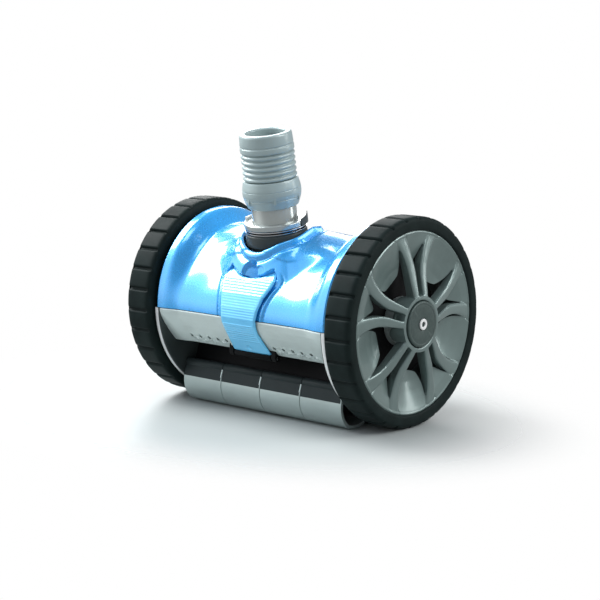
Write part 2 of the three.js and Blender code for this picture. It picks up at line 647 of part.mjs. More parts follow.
addPiece(swivel, "swivel_drum", swivelDrum(), "darkGrey");
addPiece(swivel, "seal_ring", uprightRing(29.4, NECK_RADIUS + 0.6, SEAL), "rubber");
addPiece(swivel, "retaining_ring", uprightRing(30, NECK_RADIUS + 0.6, RETAINER), "steel");
addPiece(swivel, "collar_plate", collarPlate(), "swivelGrey");
addPiece(swivel, "neck_tube", neckTube(), "swivelGrey");
addPiece(swivel, "hose_cuff", hoseCuff(), "hoseGrey");
addPiece(swivel, "ribbed_hose", ribbedHose(), "hoseGrey");
addPiece(swivel, "hose_end_cuff", endCuff(), "hoseGrey");

addPiece(cleaner, "turbine_rotor", turbineRotor(), "acetal");
addPiece(cleaner, "turbine_shaft", turbineShaft(), "steel");
addPair("drive_pinion", drivePinion(), "acetal");
addPair("compound_gear", compoundGear(), "acetal");

addPair("tyre", tyre(), "rubber");
addPair("wheel_rim", wheelRim(), "wheelGrey");
addPair("wheel_bush", wheelBush(), "acetal");
addPair("ring_gear", ringGear(), "acetal");
addPair("hub_cap", hubCap(), "capGrey");
addPair("cap_ring", capRing(), "white");

for (let number = 0; number < FLAP_COUNT; number++) {
  addPiece(cleaner, `front_flap_${number + 1}`, flap(-1, number), "panelGrey");
  addPiece(cleaner, `rear_flap_${number + 1}`, flap(1, number), "panelGrey");
}

export default part;
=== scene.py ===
"""Looks of the two-wheel pool cleaner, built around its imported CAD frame.

The maker functions work in millimetres measured from the wheel axle, with +X along the axle, -Y to
the front and +Z up. add_piece() turns them into metres in the row's frame.
"""
import json
import math

import bpy
import numpy as np
from mathutils import Matrix, Vector


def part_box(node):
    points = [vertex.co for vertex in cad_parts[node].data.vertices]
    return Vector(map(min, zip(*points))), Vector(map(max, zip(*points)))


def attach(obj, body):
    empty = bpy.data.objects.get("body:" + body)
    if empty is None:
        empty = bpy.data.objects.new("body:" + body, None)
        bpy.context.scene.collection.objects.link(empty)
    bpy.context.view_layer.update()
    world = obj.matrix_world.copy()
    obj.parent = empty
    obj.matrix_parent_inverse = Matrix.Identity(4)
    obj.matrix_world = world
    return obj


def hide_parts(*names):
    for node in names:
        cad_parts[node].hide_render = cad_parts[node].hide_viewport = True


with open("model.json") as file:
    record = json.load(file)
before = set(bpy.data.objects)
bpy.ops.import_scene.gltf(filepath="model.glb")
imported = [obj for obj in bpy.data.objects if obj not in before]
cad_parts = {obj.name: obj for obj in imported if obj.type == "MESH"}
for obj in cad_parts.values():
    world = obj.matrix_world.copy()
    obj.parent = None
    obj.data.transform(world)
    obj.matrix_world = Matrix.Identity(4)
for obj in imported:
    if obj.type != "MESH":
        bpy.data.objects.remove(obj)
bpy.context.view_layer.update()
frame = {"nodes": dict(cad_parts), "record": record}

MM = 0.001
axle_low, axle_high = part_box("stub_axle_right")
AXLE_Z = (axle_low[2] + axle_high[2]) / 2  # height of the wheel axle above the floor, in metres


# ---------------------------------------------------------------- numbers shared by the pieces
WHEEL_RADIUS = 100
RIM_EDGE = 86.8  # radius at which the wheel's face ends inside the tyre
SPLIT_Z = -0.6  # parting line between the cover and the panels
BARREL_RADIUS = 74.4
PLATE_RADIUS = 92.2  # radius to which the cover and the panels flare at their ends
COVER_HALF = 107.6
COVER_WALL = 3.0
SLOT_HALF = 33.4  # half the width of the slot that the hose swings in
SLOT_FRONT_Y = -31.8  # centre of the slot's round front end
SLOT_REAR_Y = 1
HOSE_PIVOT = (0, -25.7, 20)
HOSE_LEAN = math.radians(9.2)
DRUM_TOP = 68  # height of the swivel drum above its pivot


def smooth(t):
    s = np.clip(t, 0, 1)
    return s * s * (3 - 2 * s)


def bump(distance, width):
    return np.exp(-((distance / width) ** 2))


# ---------------------------------------------------------------- materials
def new_material(name, colour, rough, metallic=0.0, coat=0.0, ior=1.5, grain=None, tint=0.12,
                 tint_scale=40, rough_spread=0.08, wear=0.0):
    """A moulded or metal surface: uneven tint, uneven gloss, fine grain and lighter worn edges."""
    mat = bpy.data.materials.new(name)
    mat.use_nodes = True
    nodes, links = mat.node_tree.nodes, mat.node_tree.links
    shader = nodes["Principled BSDF"]
    shader.inputs["Metallic"].default_value = metallic
    shader.inputs["IOR"].default_value = ior
    shader.inputs["Coat Weight"].default_value = coat
    shader.inputs["Coat Roughness"].default_value = 0.09
    shader.inputs["Coat IOR"].default_value = 1.6
    coords = nodes.new("ShaderNodeTexCoord")

    def noise(scale, detail=4.0):
        node = nodes.new("ShaderNodeTexNoise")
        node.inputs["Scale"].default_value = scale
        node.inputs["Detail"].default_value = detail
        links.new(coords.outputs["Object"], node.inputs["Vector"])
        return node.outputs["Fac"]

    def ramp(source, low, high):
        node = nodes.new("ShaderNodeValToRGB")
        node.color_ramp.elements[0].position = 0.3
        node.color_ramp.elements[1].position = 0.7
        node.color_ramp.elements[0].color = (*low, 1)
        node.color_ramp.elements[1].color = (*high, 1)
        links.new(source, node.inputs["Fac"])
        return node.outputs["Color"]

    dark = [c * (1 - tint) for c in colour]
    light = [min(c * (1 + tint), 1) for c in colour]
    base = ramp(noise(tint_scale), dark, light)
    if wear:
        geometry = nodes.new("ShaderNodeNewGeometry")
        edge = nodes.new("ShaderNodeMapRange")
        edge.inputs["From Min"].default_value = 0.53
        edge.inputs["From Max"].default_value = 0.62
        edge.inputs["To Max"].default_value = wear
        links.new(geometry.outputs["Pointiness"], edge.inputs["Value"])
        mix = nodes.new("ShaderNodeMix")
        mix.data_type = "RGBA"
        links.new(edge.outputs["Result"], mix.inputs["Factor"])
        links.new(base, mix.inputs["A"])
        mix.inputs["B"].default_value = (*[min(0.1 + 1.5 * c, 1) for c in colour], 1)
        base = mix.outputs["Result"]
    links.new(base, shader.inputs["Base Color"])
    spread = nodes.new("ShaderNodeMapRange")
    spread.inputs["To Min"].default_value = max(rough - rough_spread / 2, 0.02)
    spread.inputs["To Max"].default_value = min(rough + rough_spread / 2, 1)
    links.new(noise(220, 2.0), spread.inputs["Value"])
    links.new(spread.outputs["Result"], shader.inputs["Roughness"])
    if grain:
        scale, depth = grain
        relief = nodes.new("ShaderNodeBump")
        relief.inputs["Strength"].default_value = 0.35
        relief.inputs["Distance"].default_value = depth * MM
        links.new(noise(scale, 3.0), relief.inputs["Height"])
        links.new(relief.outputs["Normal"], shader.inputs["Normal"])
    return mat


MATERIALS = {
    "blue_gloss": new_material("blue_gloss_moulding", (0.036, 0.405, 0.9), 0.27, metallic=0.3,
                               coat=1.0, grain=(900, 0.012), tint=0.05, rough_spread=0.05),
    "blue_strap": new_material("blue_latch_moulding", (0.14, 0.6, 1.0), 0.22, metallic=0.15,
                               coat=0.6, grain=(900, 0.006), tint=0.05, rough_spread=0.05),
    "panel_grey": new_material("panel_satin_grey", (0.53, 0.62, 0.605), 0.34, metallic=0.15,
                               grain=(1500, 0.02), tint=0.05, wear=0.2),
    "dark_grey": new_material("dark_grey_moulding", (0.043, 0.054, 0.054), 0.4, ior=1.35,
                              grain=(1400, 0.04), wear=0.15),
    "black_plastic": new_material("black_moulding", (0.0035, 0.004, 0.0045), 0.5, ior=1.15,
                                  grain=(1300, 0.05), wear=0.1),
    "rubber_black": new_material("black_seal_rubber", (0.008, 0.008, 0.009), 0.6, ior=1.3,
                                 grain=(1600, 0.05)),
    "tyre_rubber": new_material("tread_rubber", (0.011, 0.018, 0.0175), 0.5, ior=1.14,
                                grain=(1100, 0.1), tint=0.2, tint_scale=70, wear=0.3),
    "wheel_grey": new_material("wheel_grey_moulding", (0.17, 0.23, 0.222), 0.3, metallic=0.45,
                               coat=0.25, grain=(1500, 0.02), tint=0.08, wear=0.4),
    "cap_grey": new_material("cap_textured_grey", (0.05, 0.077, 0.072), 0.42, metallic=0.2,
                             grain=(1900, 0.16), tint=0.15, tint_scale=400, wear=0.2),
    "white_plastic": new_material("white_moulding", (0.83, 0.84, 0.84), 0.35,
                                  grain=(1200, 0.02), tint=0.03),
    "hose_grey": new_material("hose_soft_grey", (0.35, 0.44, 0.44), 0.34, metallic=0.1, coat=0.12,
                              grain=(900, 0.04), tint=0.06, wear=0.12),
    "swivel_grey": new_material("swivel_polished_grey", (0.46, 0.5, 0.485), 0.22, metallic=0.6,
                                grain=(900, 0.008), tint=0.05),
    "bright_trim": new_material("bright_edge_trim", (0.74, 0.76, 0.76), 0.3, metallic=0.3,
                                grain=(1400, 0.01), tint=0.04),
    "steel": new_material("turned_steel", (0.55, 0.56, 0.57), 0.22, metallic=1.0,
                          grain=(1400, 0.012), tint=0.05),
    "acetal": new_material("natural_acetal", (0.62, 0.63, 0.6), 0.4, grain=(1000, 0.03),
                           tint=0.05, wear=0.1),
    "flap_grey": new_material("flap_satin_grey", (0.35, 0.42, 0.41), 0.3, metallic=0.4,
                              grain=(1500, 0.012), tint=0.05),
    # painted shade: a near-black grey for the flaps' upper facet and hinge eyes, standing for the
    # shade that falls there
    "flap_painted_shade": new_material("flap_band_painted_shade", (0.025, 0.034, 0.035), 0.4, ior=1.2,
                              grain=(1500, 0.02), tint=0.06),
    "iron": new_material("coated_iron", (0.05, 0.05, 0.055), 0.55, metallic=0.6,
                         grain=(500, 0.3), tint=0.3),
}


# ---------------------------------------------------------------- mesh helpers
def add_piece(name, shapes, material, body, replaces=(), bevel=0.0, smooth_angle=40):
    """One visible piece from a list of (points in mm, faces), riding on a body."""
    points, faces, start = [], [], 0
    for shape_points, shape_faces in shapes:
        block = np.asarray(shape_points, float).reshape(-1, 3)
        points.append(block)
        faces.extend([tuple(int(i) + start for i in face) for face in shape_faces])
        start += len(block)
    everything = np.vstack(points) * MM
    everything[:, 2] += AXLE_Z
    mesh = bpy.data.meshes.new(name)
    mesh.from_pydata(everything.tolist(), [], faces)
    mesh.validate()
    mesh.polygons.foreach_set("use_smooth", [True] * len(mesh.polygons))
    mesh.set_sharp_from_angle(angle=math.radians(smooth_angle))
    obj = bpy.data.objects.new(name, mesh)
    bpy.context.scene.collection.objects.link(obj)
    mesh.materials.append(MATERIALS[material])
    if bevel:
        modifier = obj.modifiers.new("edges", "BEVEL")
        modifier.width = bevel * MM
        modifier.segments = 2
        modifier.limit_method = "ANGLE"
        modifier.angle_limit = math.radians(38)
        modifier.harden_normals = True
    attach(obj, body)
    if replaces:
        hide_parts(*replaces)
    return obj


def mirrored(shape):
    points, faces = shape
    flipped = np.asarray(points, float).reshape(-1, 3) * (-1, 1, 1)
    return flipped, [tuple(reversed(face)) for face in faces]


def shell(top, bottom, keep, wrap=False):
    """A closed sheet between two grids of points; cells that aren't kept are open right through."""
    rows, cols = top.shape[:2]
    count = rows * cols
    points = np.vstack([top.reshape(-1, 3), bottom.reshape(-1, 3)])
    i, j = np.nonzero(keep)
    j1 = (j + 1) % cols
    a, b, c, d = i * cols + j, (i + 1) * cols + j, (i + 1) * cols + j1, i * cols + j1
    faces = [np.stack([a, b, c, d], 1), np.stack([d, c, b, a], 1) + count]
    padded = np.pad(keep, 1)
    if wrap:
        padded[:, 0], padded[:, -1] = padded[:, -2], padded[:, 1]
    for step_i, step_j, p, q in ((-1, 0, d, a), (1, 0, b, c), (0, -1, a, b), (0, 1, c, d)):
        open_side = ~padded[i + 1 + step_i, j + 1 + step_j]
        p, q = p[open_side], q[open_side]
        faces.append(np.stack([p, p + count, q + count, q], 1)[:, ::-1])
    return points, np.vstack(faces).tolist()


def snapped(u, v, depth, scale_u, scale_v, reach):
    """Moves the grid points near the line depth = 0 onto it, so that an opening's edge is clean."""
    step = 0.02
    near = np.abs(depth(u, v)) < reach
    for _ in range(3):
        value = depth(u, v)
        slope_u = (depth(u + step / scale_u, v) - value) / step
        slope_v = (depth(u, v + step / scale_v) - value) / step
        size = slope_u ** 2 + slope_v ** 2 + 1e-6
        move = np.where(near, -value / size, 0)
        move = np.clip(move, -reach, reach)
        u = u + move * slope_u / scale_u
        v = v + move * slope_v / scale_v
    return u, v


def cells(values):
    """Mean of each grid cell's four corners."""
    return (values[:-1, :-1] + values[1:, :-1] + values[:-1, 1:] + values[1:, 1:]) / 4


def revolved(profile, segments=96, relief=None):
    """Turned about the X axis; the profile is a closed list of (x, radius), and relief gives what
    is added to each profile point's radius by angle."""
    angles = np.linspace(0, 2 * math.pi, segments, endpoint=False)
    profile = np.asarray(profile, float)
    x = np.repeat(profile[:, :1], segments, 1)
    radius = np.repeat(profile[:, 1:2], segments, 1)
    if relief is not None:
        radius = radius + relief(angles[None, :])
    points = np.stack([x, radius * np.cos(angles), radius * np.sin(angles)], -1)
    rows = len(profile)
    i, j = np.meshgrid(np.arange(rows), np.arange(segments), indexing="ij")
    i1, j1 = (i + 1) % rows, (j + 1) % segments
    quads = np.stack([i * segments + j, i * segments + j1, i1 * segments + j1,
                      i1 * segments + j], -1)
    return points.reshape(-1, 3), quads.reshape(-1, 4)[:, ::-1].tolist()


def rounded(profile, radius=0.5):
    """The same closed outline with each corner cut by a small arc of three points."""
    points = [np.array(p, float) for p in profile]
    result = []
    for k, corner in enumerate(points):
        before = points[k - 1] - corner
        after = points[(k + 1) % len(points)] - corner
        first, second = np.linalg.norm(before), np.linalg.norm(after)
        reach = min(radius, first * 0.45, second * 0.45)
        if reach < 1e-6:
            result.append(corner)
            continue
        enter, leave = corner + before / first * reach, corner + after / second * reach
        result += [enter, (enter + leave + 2 * corner) / 4, leave]
    return [tuple(p) for p in result]


def stood_up(shape):
    """From the X axis to the hose axis: x becomes the height above the swivel pivot."""
    points, faces = shape
    x, y, z = np.asarray(points, float).reshape(-1, 3).T
    height, across, side = x, y, z
    lean_y = math.sin(HOSE_LEAN)
    lean_z = math.cos(HOSE_LEAN)
    placed = np.stack([
        side + HOSE_PIVOT[0],
        across * lean_z - height * lean_y + HOSE_PIVOT[1],
        across * lean_y + height * lean_z + HOSE_PIVOT[2]], 1)
    return placed, faces


def upright(profile, corner=0.35):
    return stood_up(revolved(rounded(profile, corner)))


def extruded(outline, x0, x1):
    """A closed (y, z) outline run along X, with flat ends."""
    outline = np.asarray(outline, float)
    count = len(outline)
    near = np.column_stack([np.full(count, x0), outline])
    far = np.column_stack([np.full(count, x1), outline])
    ring = np.arange(count)
    after = (ring + 1) % count
    sides = np.stack([ring, ring + count, after + count, after], 1).tolist()
    y, z = outline.T
    area = np.sum(y * np.roll(z, -1) - z * np.roll(y, -1))
    faces = sides + [list(ring), list((ring + count)[::-1])]
    if area > 0:
        faces = [face[::-1] for face in faces]
    return np.vstack([near, far]), faces


# ---------------------------------------------------------------- camera, floor and light
AZIMUTH, ELEVATION, ROLL = (math.radians(a) for a in (41.02, 9.50, -0.06))
CAMERA_PLACE = Vector((1.1278, -1.2972, 0.3942))
LENS_MM = 106.27
SENSOR_MM = 36


def add_camera():
    right = Vector((math.cos(AZIMUTH), math.sin(AZIMUTH), 0))
    level = math.cos(ELEVATION)
    back = Vector((math.sin(AZIMUTH) * level, -math.cos(AZIMUTH) * level, math.sin(ELEVATION)))
    up = back.cross(right)
    turned_right = right * math.cos(ROLL) + up * math.sin(ROLL)
    turned_up = up * math.cos(ROLL) - right * math.sin(ROLL)
    data = bpy.data.cameras.new("camera")
    data.lens = LENS_MM
    data.sensor_width = SENSOR_MM
    camera = bpy.data.objects.new("camera", data)
    bpy.context.scene.collection.objects.link(camera)
    axes = Matrix((turned_right, turned_up, back)).transposed()
    camera.matrix_world = Matrix.Translation(CAMERA_PLACE) @ axes.to_4x4()
    bpy.context.scene.camera = camera


def add_floor():
    """A pale floor that fades into the white surroundings away from the object."""
    rings = [0.02, 0.2, 0.4, 0.6, 0.8, 1.0, 1.3, 1.7]
    segments = 96
    turns = [2 * math.pi * k / segments for k in range(segments)]
    points = [(r * math.cos(turn), r * math.sin(turn), 0) for r in rings for turn in turns]
    faces = [list(range(segments))]
    for row in range(len(rings) - 1):
        for k in range(segments):
            after = (k + 1) % segments
            faces.append((row * segments + k, (row + 1) * segments + k,
                          (row + 1) * segments + after, row * segments + after))
    mesh = bpy.data.meshes.new("floor")
    mesh.from_pydata(points, [], faces)
    mat = bpy.data.materials.new("studio_floor")
    mat.use_nodes = True
    nodes, links = mat.node_tree.nodes, mat.node_tree.links
    shader = nodes["Principled BSDF"]
    shader.inputs["Base Color"].default_value = (0.42, 0.455, 0.45, 1)
    shader.inputs["Roughness"].default_value = 0.45
    shader.inputs["Specular IOR Level"].default_value = 0.25
    coords = nodes.new("ShaderNodeTexCoord")
    squeeze = nodes.new("ShaderNodeVectorMath")
    squeeze.operation = "MULTIPLY"
    squeeze.inputs[1].default_value = (0.72, 1, 1)
    length = nodes.new("ShaderNodeVectorMath")
    length.operation = "LENGTH"
    fade = nodes.new("ShaderNodeMapRange")
    fade.interpolation_type = "SMOOTHSTEP"
    fade.inputs["From Min"].default_value = 0.13
    fade.inputs["From Max"].default_value = 0.27
    fade.inputs["To Min"].default_value = 1.0
    fade.inputs["To Max"].default_value = 0.0
    links.new(coords.outputs["Object"], squeeze.inputs[0])
    links.new(squeeze.outputs["Vector"], length.inputs[0])
    links.new(length.outputs["Value"], fade.inputs["Value"])
    links.new(fade.outputs["Result"], shader.inputs["Alpha"])
    mesh.materials.append(mat)
    floor = bpy.data.objects.new("floor", mesh)
    floor.location = (-0.04, -0.03, 0)
    bpy.context.scene.collection.objects.link(floor)


def add_softbox(name, place, target, width, height, power, roll=0.0):
    data = bpy.data.lights.new(name, "AREA")
    data.shape = "RECTANGLE"
    data.size, data.size_y = width, height
    data.energy = power
    light = bpy.data.objects.new(name, data)
    place, target = Vector(place), Vector(target)
    turn = (target - place).to_track_quat("-Z", "Y").to_matrix().to_4x4()
    light.matrix_world = Matrix.Translation(place) @ turn @ Matrix.Rotation(roll, 4, "Z")
    bpy.context.scene.collection.objects.link(light)


def add_light():
    """White surroundings, dimmer towards the objects than they look, and studio softboxes."""
    world = bpy.data.worlds.new("studio")
    world.use_nodes = True
    nodes, links = world.node_tree.nodes, world.node_tree.links
    seen = nodes["Background"]
    seen.inputs["Color"].default_value = (1.0, 1.0, 1.0, 1)
    seen.inputs["Strength"].default_value = 1.0
    lighting = nodes.new("ShaderNodeBackground")
    coords = nodes.new("ShaderNodeTexCoord")
    split = nodes.new("ShaderNodeSeparateXYZ")
    sky = nodes.new("ShaderNodeValToRGB")
    sky.color_ramp.elements[0].position = 0.0
    sky.color_ramp.elements[0].color = (0.9, 0.91, 0.92, 1)
    sky.color_ramp.elements[1].position = 1.0
    sky.color_ramp.elements[1].color = (0.3, 0.34, 0.42, 1)
    middle = sky.color_ramp.elements.new(0.2)
    middle.color = (0.8, 0.82, 0.85, 1)
    # a broad soft glow from the front left fills the lower half of the body
    toward = nodes.new("ShaderNodeVectorMath")
    toward.operation = "DOT_PRODUCT"
    toward.inputs[1].default_value = Vector((-0.62, -0.55, 0.60)).normalized()
    glow = nodes.new("ShaderNodeMapRange")
    glow.interpolation_type = "SMOOTHSTEP"
    glow.inputs["From Min"].default_value = 0.6
    glow.inputs["From Max"].default_value = 0.98
    glow.inputs["To Min"].default_value = 0.5
    glow.inputs["To Max"].default_value = 2.5
    links.new(coords.outputs["Generated"], toward.inputs[0])
    links.new(toward.outputs["Value"], glow.inputs["Value"])
    links.new(glow.outputs["Result"], lighting.inputs["Strength"])
    path = nodes.new("ShaderNodeLightPath")
    mix = nodes.new("ShaderNodeMixShader")
    links.new(coords.outputs["Generated"], split.inputs["Vector"])
    links.new(split.outputs["Z"], sky.inputs["Fac"])
    links.new(sky.outputs["Color"], lighting.inputs["Color"])
    links.new(path.outputs["Is Camera Ray"], mix.inputs["Fac"])
    links.new(lighting.outputs["Background"], mix.inputs[1])
    links.new(seen.outputs["Background"], mix.inputs[2])
    links.new(mix.outputs["Shader"], nodes["World Output"].inputs["Surface"])
    bpy.context.scene.world = world
    add_softbox("upper_left_box", (-1.09, -0.24, 1.26), (0.0, -0.03, 0.14), 0.9, 1.15, 40, roll=0.2)
    add_softbox("zenith_box", (0.27, -0.44, 2.0), (0, 0, 0.15), 0.7, 0.6, 6)
    add_softbox("back_left_box", (-1.26, 1.08, 0.88), (0, 0, 0.12), 0.9, 0.9, 13)
    add_softbox("right_strip", (1.2, 1.46, 0.7), (0, 0, 0.15), 0.3, 1.2, 6)
    add_softbox("right_box", (1.9, 0.8, 1.5), (0, 0, 0.1), 1.4, 1.4, 32)
    scene = bpy.context.scene
    scene.view_settings.view_transform = "Standard"
    scene.view_settings.look = "None"


# ---------------------------------------------------------------- top cover
# the latch strap's side view, half width and top edge, which the cover's recess follows too
STRAP_PROFILE_Z = [-46, -36.4, -25, -13.8, -6, 0.5, 10, 22.7, 37.6, 46.3, 48.5]
STRAP_PROFILE_Y = [-64, -70.4, -79, -87.1, -91, -92.1, -90.5, -85.7, -75.1, -64.7, -62.6]
STRAP_WIDTH_Z = [-46, -34.4, -13.8, 0.5, 12, 22, 32, 37.6, 42, 46.3]
STRAP_HALF_WIDTH = [23.6, 23.6, 21, 22, 24, 27, 31.3, 32.5, 30, 26.4]
STRAP_TOP_X = [0, 8, 14, 20, 26.4]
STRAP_TOP_Z = [38, 38.6, 40, 42.6, 46.3]
STRAP_LOW_Z = -36.4
STRAP_WALL = 2.2


def strap_y(z):
    return np.interp(z, STRAP_PROFILE_Z, STRAP_PROFILE_Y)


def strap_half_width(z):
    return np.interp(z, STRAP_WIDTH_Z, STRAP_HALF_WIDTH)


def strap_top(x):
    return np.interp(np.abs(x), STRAP_TOP_X, STRAP_TOP_Z)


def slot_distance(x, y):
    """How far outside the slot a point lies, seen from above."""
    front = np.hypot(x, y - SLOT_FRONT_Y)
    rear = np.hypot(x, y - SLOT_REAR_Y)
    beside = np.abs(x)
    nearest = np.where(y < SLOT_FRONT_Y, front, np.where(y > SLOT_REAR_Y, rear, beside))
    return nearest - SLOT_HALF


def end_flare(x):
    """Share of the way from the plain barrel to the side plates' radius."""
    side = np.abs(x)
    flared = 0.14 * smooth((side - 45) / 41) + 0.8 * smooth((side - 80) / 20)
    return flared + 0.06 * np.clip((side - 97) / 10.6, 0, 1)


def barrel_radius(x, angle):
    """The plain barrel of the cover, with its flared ends; angle in degrees, 0 at the front."""
    from_edge = np.minimum(angle, 180 - angle)
    middle = BARREL_RADIUS + 14.1 * bump(from_edge, 26)
    radius = middle + (PLATE_RADIUS - middle) * end_flare(x)
    return radius - 0.9 * bump(COVER_HALF - np.abs(x), 0.7)


# fall of the turret's flank in mm per mm outward, by direction from the slot's front centre
TURRET_BETA = [0, 6, 12.7, 20, 29, 40, 50, 60, 90]
TURRET_SLOPE = [0.10, 0.115, 0.155, 0.26, 0.43, 0.56, 0.54, 0.45, 0.42]


def turret_radius(x, angle):
    """Barrel and turret without their small details, with the distance from the slot and the
    direction, in degrees, from the slot's front centre."""
    radians = np.radians(angle)
    base = barrel_radius(x, angle)
    radius = base
    for _ in range(6):
        y = -radius * np.cos(radians)
        away = slot_distance(x, y)
        beta = np.degrees(np.arctan2(SLOT_FRONT_Y - y, np.abs(x) + 1e-6))
        front = smooth((beta - 2) / 50)
        rearward = smooth((y + 16) / 26)
        ridge = 80.9 + 8.4 * front - 4.4 * rearward
        slope = np.interp(beta, TURRET_BETA, TURRET_SLOPE)
        turret = ridge - slope * np.maximum(away - 5, 0)
        # a soft maximum of barrel and turret leaves a crease where they meet
        gap = turret - base
        rise = np.where(gap > 12, gap, np.log1p(np.exp(np.clip(gap * 1.6, -60, 19.2))) / 1.6)
        radius = radius * 0.4 + (base + rise) * 0.6
    y = -radius * np.cos(radians)
    return radius, slot_distance(x, y), beta


def cover_radius(x, angle):
    """Outer radius of the cover: barrel, turret around the slot, latch recess and creases."""
    radians = np.radians(angle)
    radius, away, beta = turret_radius(x, angle)
    y = -radius * np.cos(radians)
    front = smooth((beta - 2) / 50)
    in_front = y < -5
    # a low step that sweeps round the turret from the latch's corners
    step_on = smooth((beta - 24) / 20)
    step = step_on * smooth((30.5 - 0.4 * beta - away) / 1.3)
    radius = radius + 1.1 * step - 1.1 * step_on
    # a raised lip round the slot's front half, then a groove and a soft crest
    lip_on = smooth((-9.4 - y) / 1.6)
    hump = np.clip(1 - ((away - 2.1) / 3.0) ** 2, 0, 1) ** 0.7
    lip = (3.0 + (1.5 + 1.9 * smooth((-13 - y) / 9)) * (1 - front)) * hump * lip_on
    groove = -(0.9 + 0.5 * front) * bump(away - 5.9, 1.2) * lip_on
    crest = 0.45 * bump(away - 8.6, 1.6) * lip_on
    radius = radius + lip + groove + crest - 0.6 * bump(away, 0.6)
    z = radius * np.sin(radians)
    # recess that the latch strap lies in, with a raised border and a groove beside it
    outside = np.maximum(np.abs(x) - strap_half_width(z), z - strap_top(x) - 0.6)
    floor = np.hypot(strap_y(z), z) - STRAP_WALL - 1.0
    inside = smooth((1.3 - outside) / 1.1) * in_front
    radius = radius + (np.minimum(floor, radius) - radius) * inside
    beside = np.abs(x) - strap_half_width(z)
    border = 1.1 * bump(beside - 3.8, 1.5) * smooth((34 - z) / 8) * in_front
    border = border - 0.9 * bump(beside - 6.8, 0.9) * smooth((46 - z) / 8) * in_front
    # finger pocket above the latch, and a smaller notch at its right
    dome = np.hypot(x / 9.4, (z - 38.5) / 14.0)
    pocket = (6.5 + 0.36 * x) * smooth((1.12 - dome) / 0.22) * in_front * (z > 30)
    notch = 1.2 * smooth((1.15 - np.hypot((x - 12) / 5, (z - 42) / 8)) / 0.3) * in_front
    return radius + border - pocket - notch


def make_cover():
    middle = np.arange(-46, 46.01, 0.75)
    outer = np.concatenate([np.linspace(47, 80, 28), np.linspace(81, 105.4, 24),
                            [106, 106.3, 106.6, 106.9, 107.15, 107.35, 107.5, COVER_HALF]])
    xs = np.concatenate([-outer[::-1], middle, outer])
    angles = np.concatenate([np.linspace(0, 119, 223), np.linspace(120.2, 180, 48)])
    u, v = np.meshgrid(xs, angles, indexing="ij")

    def depth(x, angle):
        return turret_radius(x, angle)[1]

    u, v = snapped(u, v, depth, 1.0, 1.4, 0.5)
    radius = cover_radius(u, v)
    radians = np.radians(v)
    top = np.stack([u, -radius * np.cos(radians), radius * np.sin(radians)], -1)
    seam_z = SPLIT_Z + 0.35
    top[:, (0, -1), 2] = seam_z
    away = depth(u, v)
    wall = COVER_WALL + 7.0 * bump(np.maximum(away, 0), 2.6)
    inner_radius = radius - wall
    bottom = np.stack([u, -inner_radius * np.cos(radians), inner_radius * np.sin(radians)], -1)
    # the wall beside the slot runs straight down
    near_slot = bump(np.maximum(away, 0), 2.0)[..., None]
    straight = top.copy()
    straight[..., 2] -= wall
    bottom = bottom * (1 - near_slot) + straight * near_slot
    bottom[:, (0, -1), 2] = seam_z
    keep = cells(away) > -0.12
    add_piece("cover_moulding", [shell(top, bottom, keep)], "blue_gloss", "cover", ["top_cover"],
              smooth_angle=50)


def make_cover_fittings():
    """Ears that carry the hose swivel and the knuckles of the rear hinge."""
    ear = extruded([(-33.5, 12), (-31, 8.6), (-20.5, 8.6), (-18, 12), (-14, 71), (-40, 69)],
                   34.3, 38)
    knuckle = extruded([(84, 6.5), (89.5, 6.3), (94, 3.7), (96.2, 1.6), (95, -3), (91, -3.6),
                        (89.4, 1.6), (86, 1.6)], 50, 62)
    shapes = [ear, knuckle, mirrored(ear), mirrored(knuckle)]
    add_piece("cover_ears_and_knuckles", shapes, "blue_gloss", "cover", bevel=0.5)


